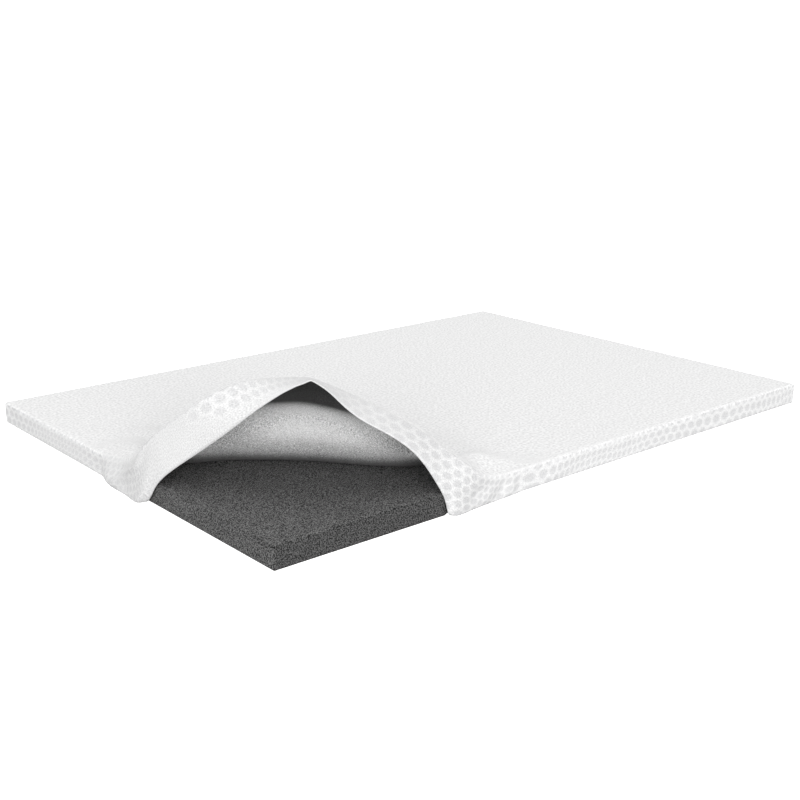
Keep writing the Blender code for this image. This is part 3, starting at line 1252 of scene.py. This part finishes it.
    @staticmethod
    def skirt_controls(
        start: np.ndarray,
        edge: np.ndarray,
        turn: np.ndarray,
        fold_end: np.ndarray,
        hem: np.ndarray,
        rolls: Rolls,
    ) -> np.ndarray:
        """Points from the top, over the edge, down the side and in to the hem.

        Args:
            start: where the top ends.
            edge: where top and side would meet.
            turn: where side and hem would meet.
            fold_end: where the hem starts.
            hem: the cloth's free edge.
            rolls: how far the bends at edge and turn reach.

        Returns:
            Eight points for each column.
        """
        side_start = edge + unit(turn - edge) * rolls.edge
        side_end = turn + unit(edge - turn) * rolls.fold
        points = [
            start,
            (start + 2 * edge + side_start) / 4,
            side_start,
            (side_start + side_end) / 2,
            side_end,
            (side_end + 2 * turn + fold_end) / 4,
            fold_end,
            hem,
        ]
        return np.stack(points, axis=1)

    # ------------------------------------------------------------------ flat top and sides

    @staticmethod
    def moved_in(along: np.ndarray, size: float, inset: float, reach: float) -> np.ndarray:
        """Moves places in from both ends of a side, by the whole inset only at the very end.

        Args:
            along: the places.
            size: the side's length.
            inset: how far the ends move.
            reach: how far from the ends places move at all.

        Returns:
            The moved places.
        """
        share = (reach - inset) / reach
        low = inset + along * share
        high = size - inset - (size - along) * share
        return np.where(along < reach, low, np.where(along > size - reach, high, along))

    def plan(self, p: np.ndarray, q: np.ndarray, inset: float) -> np.ndarray:
        """Places on the cover's plan, moved in and rounded at the upright corners.

        Args:
            p: places along the long side, on the square outline or inside it.
            q: places along the short side.
            inset: how far the outline moves in.

        Returns:
            The level places, with a height of 0.
        """
        s = self.sizes
        reach = self.edge_reach if inset < self.edge_reach else self.hem_squeeze
        place = np.stack(
            [self.moved_in(p, s.length, inset, reach), self.moved_in(q, s.width, inset, reach)],
            axis=-1,
        )
        radius = max(self.corner_radius - inset, 0.0)
        if radius > 0:
            low = np.array([inset + radius] * 2)
            high = np.array([s.length, s.width]) - low
            centre = np.clip(place, low, high)
            offset = place - centre
            size = np.abs(offset)
            longest = size.max(axis=-1, keepdims=True)
            angle = np.pi / 4 * size / np.maximum(longest, TINY)
            in_corner = (size > TINY).all(axis=-1, keepdims=True)
            bent = np.where(size >= longest, np.cos(angle[..., ::-1]), np.sin(angle))
            place = np.where(in_corner, centre + np.sign(offset) * longest * bent, place)
        return np.concatenate([place, np.zeros_like(place[..., :1])], axis=-1)

    def side_stations(self, size: float, count: int) -> np.ndarray:
        """Places along one far side, close together round its corners.

        Args:
            size: the side's length.
            count: how many spans it has.

        Returns:
            The places, from 0 to size.
        """
        arc = self.corner_arc
        middle = np.linspace(
            self.corner_radius, size - self.corner_radius, count - 2 * self.corner_steps + 1
        )
        return np.concatenate([arc[:-1], middle, size - arc[::-1][1:]])

    def far_block(self, columns: int) -> tuple[np.ndarray, np.ndarray, np.ndarray]:
        """The last rows of the top, along the two far sides.

        Args:
            columns: how many columns the top has.

        Returns:
            Those rows' points, and each column's place on the square outline, as p and q.
        """
        s = self.sizes
        to_corner = PEAK_SECTION * self.steps
        long_side = self.side_stations(s.length, to_corner)
        short_side = s.width - self.side_stations(s.width, columns - 1 - to_corner)
        p = np.concatenate([long_side, np.full(len(short_side) - 1, s.length)])
        q = np.concatenate([np.full(len(long_side), s.width), short_side[1:]])
        rows = []
        on_long = np.arange(columns) <= to_corner
        on_short = np.arange(columns) >= to_corner
        for offset in self.far_offsets:
            row_p = np.where(on_short, s.length - offset, self.drawn_in(p, s.length, offset))
            row_q = np.where(on_long, s.width - offset, self.drawn_in(q, s.width, offset))
            rows.append(self.plan(row_p, row_q, self.edge_radius) + [0, 0, s.height])
        return np.stack(rows, axis=1), p, q

    def drawn_in(self, along: np.ndarray, size: float, offset: float) -> np.ndarray:
        """Draws the places near a side's far end in, by the whole offset at the very end.

        Args:
            along: the places.
            size: the side's length.
            offset: how far the end moves.

        Returns:
            The moved places.
        """
        share = (self.turn_reach - offset) / self.turn_reach
        moved = size - offset - (size - along) * share
        return np.where(along > size - self.turn_reach, moved, along)

    def side_columns(self, top: np.ndarray, p: np.ndarray, q: np.ndarray) -> np.ndarray:
        """Skirt points where the cover fits the slab.

        Args:
            top: the last points of the top, where the skirts start.
            p: places on the square outline, along the long side.
            q: places on it along the short side.

        Returns:
            Eight points for each column.
        """
        edge = self.plan(p, q, 0.0)
        rolls = Rolls(np.array(self.edge_radius), np.array(self.fold_radius))
        return self.skirt_controls(
            top,
            edge + [0, 0, self.sizes.height],
            edge,
            self.plan(p, q, self.fold_radius),
            self.plan(p, q, self.sizes.hem_turn),
            rolls,
        )

    # ------------------------------------------------------------------ the cloth

    def lay_out(self) -> Cloth:
        """Lays the whole cloth out.

        Returns:
            The cloth, smooth and without its thickness.
        """
        hood_controls, lifted_controls = self.lifted_controls()
        # Painted shade for each hood point: the listed shares, raised towards the hood's two ends
        from_middle = np.abs(np.linspace(-1, 1, len(hood_controls)) - self.painted_shade_least_at)
        toward_end = (from_middle - self.painted_shade_ends_from) / self.painted_shade_ends_over
        at_ends = self.painted_shade_at_ends * smooth_step(toward_end)
        painted_shade_share = np.maximum(np.array(self.painted_shade_share)[None, :, None], at_ends[:, None, None])
        hood = thread_through(np.concatenate([hood_controls, painted_shade_share], axis=2), self.hood_rows)
        hood, painted_shade = hood[..., :3], np.clip(hood[..., 3:], 0, 1)
        lifted = thread_through(lifted_controls, self.skirt_rows)
        block, far_p, far_q = self.far_block(len(hood))
        shares = (np.arange(1, self.flat_rows) / self.flat_rows) ** self.flat_spread
        knee = hood[:, -1:]
        flat = knee + (block[:, :1] - knee) * shares[None, :, None]
        top = np.concatenate([hood, flat, block], axis=1)

        right, left, far = top[-1, 1:-1], top[0, 1:-1][::-1], top[::-1, -1]
        close = block.shape[1] - 1
        right_p = np.concatenate([right[:-close, 0], self.far_places(self.sizes.length)])
        left_q = np.concatenate([self.far_places(self.sizes.width)[::-1], left[close:, 1]])
        plain = [
            self.side_columns(right, right_p, np.zeros(len(right))),
            self.side_columns(far, far_p[::-1], far_q[::-1]),
            self.side_columns(left, np.zeros(len(left)), left_q),
        ]
        plain_skirt = thread_through(np.concatenate(plain), self.skirt_rows)
        skirt = np.concatenate([lifted, plain_skirt])

        top_places = self.top_places(top)
        rim_places = self.around(top_places)
        run = added_up(span_lengths(skirt))[:, 1:, None]
        skirt_places = rim_places[:, None] + self.outward(skirt)[:, None] * run
        points = np.concatenate([top.reshape(-1, 3), skirt[:, 1:].reshape(-1, 3)])
        places = np.concatenate([top_places.reshape(-1, 2), skirt_places.reshape(-1, 2)])
        behind = self.painted_shade_behind(painted_shade[..., 0], top.shape[:2], len(skirt))
        places = np.concatenate([places, behind[:, None]], axis=1)
        dots, whole = self.border_dots(skirt)
        inner = np.zeros((top.shape[0], top.shape[1], 3))
        rim = self.around(np.arange(inner.size // 3).reshape(top.shape[:2]))
        inner.reshape(-1, 3)[rim] = dots[:, 0]
        dots = np.concatenate([inner.reshape(-1, 3), dots[:, 1:].reshape(-1, 3)])
        faces = self.faces(top.shape[:2], len(skirt))
        corner_dots = dots[faces]
        corner_dots[-self.skirt_rows :, 2:, 0] += whole
        return Cloth(points + self.sizes.corner, places, corner_dots, faces)

    def painted_shade_behind(
        self, painted_shade: np.ndarray, top_shape: tuple[int, int], ring: int
    ) -> np.ndarray:
        """How much painted shade lies on the inner side at each point.

        Args:
            painted_shade: its share at the hood's points, column by column.
            top_shape: columns and rows of the top.
            ring: columns of the skirt.

        Returns:
            The share for the top's points and then for the skirt's.
        """
        over_top = np.zeros(top_shape)
        over_top[:, : painted_shade.shape[1]] = painted_shade
        column = np.arange(len(painted_shade))
        from_end = np.minimum(column, column[::-1])
        # Painted shade behind the lifted band, fading out towards its two ends
        below = np.zeros((ring, self.skirt_rows))
        below[: len(painted_shade)] = smooth_step(from_end / (self.painted_shade_skirt_over * self.steps))[:, None]
        return np.concatenate([over_top.ravel(), below.ravel()])

    @staticmethod
    def around(top: np.ndarray) -> np.ndarray:
        """The top's rows that lie on its rim, in their order round it."""
        return np.concatenate([top[:, 0], top[-1, 1:-1], top[::-1, -1], top[0, 1:-1][::-1]])

    def far_places(self, size: float) -> np.ndarray:
        """Places on the square outline of the rows that run close along a far side."""
        return size - self.far_offsets[:-1]

    def top_places(self, top: np.ndarray) -> np.ndarray:
        """Each top point's place on the flat cloth: the hood is rolled out from the slab.

        Args:
            top: the top's points, column by column.

        Returns:
            The places, as u and v.
        """
        places = top[..., :2].copy()
        hood = top[:, : self.hood_rows + 1]
        run = added_up(span_lengths(hood[:, ::-1]))[:, :0:-1, None]
        toward_rim = unit(hood[:, 0, :2] - hood[:, -1, :2])
        places[:, : self.hood_rows] = hood[:, -1:, :2] + toward_rim[:, None] * run
        return places

    def outward(self, skirt: np.ndarray) -> np.ndarray:
        """Which way the cloth goes on beyond the rim, on the flat cloth.

        Args:
            skirt: the skirt's points, column by column.

        Returns:
            A direction for each column.
        """
        columns = (len(SECTIONS) - 1) * self.steps + 1
        turn = smooth_step(np.linspace(0, 1, columns)) * math.pi / 2
        lifted = np.stack([-np.cos(turn), -np.sin(turn)], axis=1)
        plain = unit((skirt[columns:, self.skirt_rows // 2] - skirt[columns:, 0])[:, :2])
        return np.concatenate([lifted, plain])

    def border_dots(self, skirt: np.ndarray) -> tuple[np.ndarray, float]:
        """Counts the border's dots along it and its rows down it.

        Args:
            skirt: the skirt's points, column by column.

        Returns:
            For each point the dots and rows counted so far and the dots' strength with the painted
            rim highlight, and the number of dots all the way round.
        """
        middle = skirt[:, self.skirt_rows // 2]
        steps = np.linalg.norm(np.diff(np.concatenate([middle, middle[:1]]), axis=0), axis=1)
        place = np.concatenate([[0.0], np.cumsum(steps)])
        place -= place[PEAK_SECTION * self.steps]
        first, last = DOT_ZONES[0].place, DOT_ZONES[-1].place
        all_round = place[-1] - place[0]
        place = np.where(place > place[-1] + first - place[0], place - all_round, place)
        repeat = ZONE_REPEAT[0] + np.mod(place - ZONE_REPEAT[0], ZONE_REPEAT[1] - ZONE_REPEAT[0])
        place = np.where(place > last, repeat, place)
        zones = np.array(DOT_ZONES)
        pitch, row, lean, strength, first_row, last_row = (
            np.interp(place[:-1], zones[:, 0], zones[:, i]) for i in range(1, 7)
        )
        density = 1 / (pitch * MM)
        density_between = (density + np.roll(density, -1)) / 2
        counted = np.concatenate([[0.0], np.cumsum(steps * density_between)])
        whole = round(counted[-1])
        counted = counted[:-1] * whole / counted[-1]
        down = added_up(span_lengths(skirt)) - self.edge_radius
        rows = down / (row[:, None] * MM)
        fade_in = (down - first_row[:, None] * MM) / self.dots_fade_in + 0.5
        fade_out = (last_row[:, None] * MM - down) / self.dots_fade_out + 0.5
        shown = strength[:, None] * smooth_step(fade_in) * smooth_step(fade_out)
        # Painted highlight: a thin line of the brighter net just below the rim, on the left band
        line = np.exp(-(((down - self.rim_highlight_down) / self.rim_highlight_width) ** 2))
        on_left = np.abs(place[:-1, None] - self.rim_highlight_middle) < self.rim_highlight_reach
        shown = np.maximum(shown, self.rim_highlight * line * on_left)
        return np.stack([counted[:, None] + lean[:, None] * rows, rows, shown], axis=-1), whole

    def faces(self, top_shape: tuple[int, int], ring: int) -> list[tuple[int, ...]]:
        """The cloth's faces.

        Args:
            top_shape: columns and rows of the top.
            ring: columns of the skirt.

        Returns:
            The points of each face, turned outwards.
        """
        top = np.arange(top_shape[0] * top_shape[1]).reshape(top_shape)
        below = top.size + np.arange(ring * self.skirt_rows).reshape(ring, -1)
        skirt = np.concatenate([self.around(top)[:, None], below], axis=1)
        skirt = np.concatenate([skirt, skirt[:1]])
        quads = [
            np.stack([top[:-1, :-1], top[1:, :-1], top[1:, 1:], top[:-1, 1:]], axis=-1),
            np.stack([skirt[:-1, :-1], skirt[:-1, 1:], skirt[1:, 1:], skirt[1:, :-1]], axis=-1),
        ]
        return np.concatenate([quad.reshape(-1, 4) for quad in quads]).tolist()

    def folds(self, points: np.ndarray, places: np.ndarray) -> np.ndarray:
        """How far the cloth stands out from its smooth shape.

        Args:
            points: the cloth's points.
            places: their places on the flat cloth.

        Returns:
            The height at each point, outwards.
        """
        u, v = places.T
        height = points[:, 2]
        on_side = height < self.sizes.height - self.edge_radius
        swell = slow_waves(u, v, self.swell_seed, self.swell_count, self.shortest_swell)
        on_top = self.top_swell * (1 + np.clip(swell, -1, 1)) / 2
        total = np.where(on_side, self.side_swell * swell, on_top)
        total += crease_heights(CREASES, places)
        return total * smooth_step((height - self.fold_clearance) / self.fold_rise)

    def build(self) -> bpy.types.Object:
        """Builds the cover with its folds and its thickness.

        Returns:
            The cover.
        """
        points, places, dots, faces = self.lay_out()
        piece = new_piece("knit_cover", points, faces)
        mesh = piece.data
        normals = np.empty(points.size)
        mesh.vertex_normals.foreach_get("vector", normals)
        points += normals.reshape(-1, 3) * self.folds(points, places[:, :2])[:, None]
        lift = crease_heights(RUN_OUTS, places[:, :2])
        points[:, 2] += lift * smooth_step(points[:, 2] / self.sizes.height)
        points[:, 2] = np.maximum(points[:, 2], 0.0)
        mesh.vertices.foreach_set("co", points.ravel())
        mesh.update()
        mesh.attributes.new(self.face.place_name, "FLOAT_VECTOR", "POINT")
        mesh.attributes[self.face.place_name].data.foreach_set("vector", places.ravel())
        mesh.attributes.new(self.face.dots_name, "FLOAT_VECTOR", "CORNER")
        mesh.attributes[self.face.dots_name].data.foreach_set("vector", dots.ravel())
        thickness = piece.modifiers.new("cloth thickness", "SOLIDIFY")
        thickness.thickness = self.sizes.cloth
        thickness.offset = -1
        thickness.use_even_offset = True
        thickness.material_offset = ClothSide.BACK.value
        thickness.material_offset_rim = ClothSide.FACE.value
        return piece

    def dress(self, piece: bpy.types.Object, rests_on: bpy.types.Object) -> None:
        """Gives the cover its finishes and its place in the frame.

        Args:
            piece: the cover.
            rests_on: the slab that it covers; not used.
        """
        finishes = {ClothSide.FACE: self.face, ClothSide.BACK: self.back}
        for side in ClothSide:
            piece.data.materials.append(finishes[side].material())
        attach(piece, "root")
        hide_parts("cover")


# --------------------------------------------------------------------------------------- studio


@dataclass(frozen=True)
class Studio:
    """Pale floor and backdrop, soft light and the camera."""

    floor_radius: float = 12.0
    bend_radius: float = 6.0
    bend_points: int = 9
    wall_height: float = 14.0
    segments: int = 64
    sweep: StudioSweep = field(default_factory=StudioSweep)
    sky_front: float = 0.88
    sky_back: float = 0.8
    ground: float = 0.45
    horizon: float = 0.1
    lamp_sides: tuple[float, float] = (70.0, 36.0)
    lamp_rise: float = 17.0
    lamp_distance: float = 16.0
    lamp_size: float = 6.0
    lamp_powers: tuple[float, float] = (950.0, 760.0)
    eye: Triple = (-2.2246, -2.5916, 1.0534)
    heading: float = 0.7014
    pitch: float = 0.2883
    lens: float = 54.53
    sensor_width: float = 36.0

    def build(self) -> bpy.types.Object:
        """Sets up the studio.

        Returns:
            The floor with its backdrop.
        """
        floor = self.add_floor()
        self.add_sky()
        self.add_lamps()
        self.add_camera()
        bpy.context.scene.view_settings.view_transform = "Standard"
        return floor

    def add_floor(self) -> bpy.types.Object:
        """Lays the floor, which lights nothing itself.

        Returns:
            The floor with its backdrop.
        """
        bend = np.linspace(0, math.pi / 2, self.bend_points)
        radius = self.floor_radius + self.bend_radius * np.sin(bend)
        height = self.bend_radius * (1 - np.cos(bend))
        radius, height = np.append(radius, radius[-1]), np.append(height, self.wall_height)
        turn = np.linspace(0, 2 * math.pi, self.segments, endpoint=False)
        rings = np.stack(
            [
                np.outer(radius, np.cos(turn)),
                np.outer(radius, np.sin(turn)),
                np.repeat(height[:, None], self.segments, axis=1),
            ],
            axis=-1,
        )
        index = np.arange(rings.size // 3).reshape(rings.shape[:2])
        beside = np.roll(index, -1, axis=1)
        quads = np.stack([index[:-1], index[1:], beside[1:], beside[:-1]], axis=-1)
        faces = [tuple(index[0]), *quads.reshape(-1, 4).tolist()]
        floor = new_piece("studio_floor", rings.reshape(-1, 3), faces)
        floor.data.materials.append(self.sweep.material())
        floor.visible_diffuse = False
        floor.visible_glossy = False
        floor.visible_shadow = False
        return floor

    def add_sky(self) -> None:
        """Surrounds the piece with soft light: most from the front, and least from below."""
        world = bpy.data.worlds.new("soft dome")
        world.use_nodes = True
        nodes, links = world.node_tree.nodes, world.node_tree.links
        direction = nodes.new("ShaderNodeTexCoord").outputs["Generated"]
        parts = nodes.new("ShaderNodeSeparateXYZ")
        links.new(direction, parts.inputs[0])
        facing = nodes.new("ShaderNodeVectorMath")
        facing.operation = "DOT_PRODUCT"
        links.new(direction, facing.inputs[0])
        facing.inputs[1].default_value = (-math.sin(self.heading), -math.cos(self.heading), 0.0)
        spans = (
            (facing.outputs["Value"], 1.0, self.sky_back, self.sky_front),
            (parts.outputs["Z"], self.horizon, self.ground, 1.0),
        )
        product = nodes.new("ShaderNodeMath")
        product.operation = "MULTIPLY"
        for index, (value, reach, low, high) in enumerate(spans):
            level = nodes.new("ShaderNodeMapRange")
            links.new(value, level.inputs["Value"])
            level.inputs["From Min"].default_value = -reach
            level.inputs["From Max"].default_value = reach
            level.inputs["To Min"].default_value = low
            level.inputs["To Max"].default_value = high
            links.new(level.outputs["Result"], product.inputs[index])
        links.new(product.outputs["Value"], nodes["Background"].inputs["Strength"])
        nodes["Background"].inputs["Color"].default_value = (1.0, 1.0, 1.0, 1.0)
        bpy.context.scene.world = world

    def add_lamps(self) -> None:
        """Hangs two broad soft lamps in front of the lifted corner, to its right and its left."""
        rise = math.radians(self.lamp_rise)
        for side_degrees, power in zip(self.lamp_sides, self.lamp_powers):
            side = math.radians(side_degrees)
            toward = Vector(
                (-math.cos(side) * math.cos(rise), -math.sin(side) * math.cos(rise), math.sin(rise))
            )
            lamp = bpy.data.lights.new("softbox", "AREA")
            lamp.size = self.lamp_size
            lamp.energy = power
            holder = bpy.data.objects.new("softbox", lamp)
            holder.location = toward * self.lamp_distance
            holder.rotation_euler = toward.to_track_quat("Z", "Y").to_euler()
            bpy.context.scene.collection.objects.link(holder)

    def add_camera(self) -> None:
        """Sets the camera where the picture is taken from."""
        data = bpy.data.cameras.new("camera")
        data.lens = self.lens
        data.sensor_width = self.sensor_width
        camera = bpy.data.objects.new("camera", data)
        camera.location = self.eye
        camera.rotation_euler = (math.pi / 2 - self.pitch, 0.0, -self.heading)
        bpy.context.scene.collection.objects.link(camera)
        bpy.context.scene.camera = camera


def main() -> None:
    """Builds the topper and the studio round it."""
    logging.basicConfig(level=logging.INFO, format="%(name)s: %(message)s")
    sizes = TopperSizes()
    core = FoamCore(sizes)
    slab = core.build()
    core.dress(slab)
    log.info("foam slab: %d faces", len(slab.data.polygons))
    cover = Cover(sizes)
    cloth = cover.build()
    cover.dress(cloth, slab)
    log.info("knit cover: %d faces", len(cloth.data.polygons))
    floor = Studio().build()
    log.info("studio: %s, %d lights", floor.name, len(bpy.data.lights))


if __name__ == "__main__":
    main()
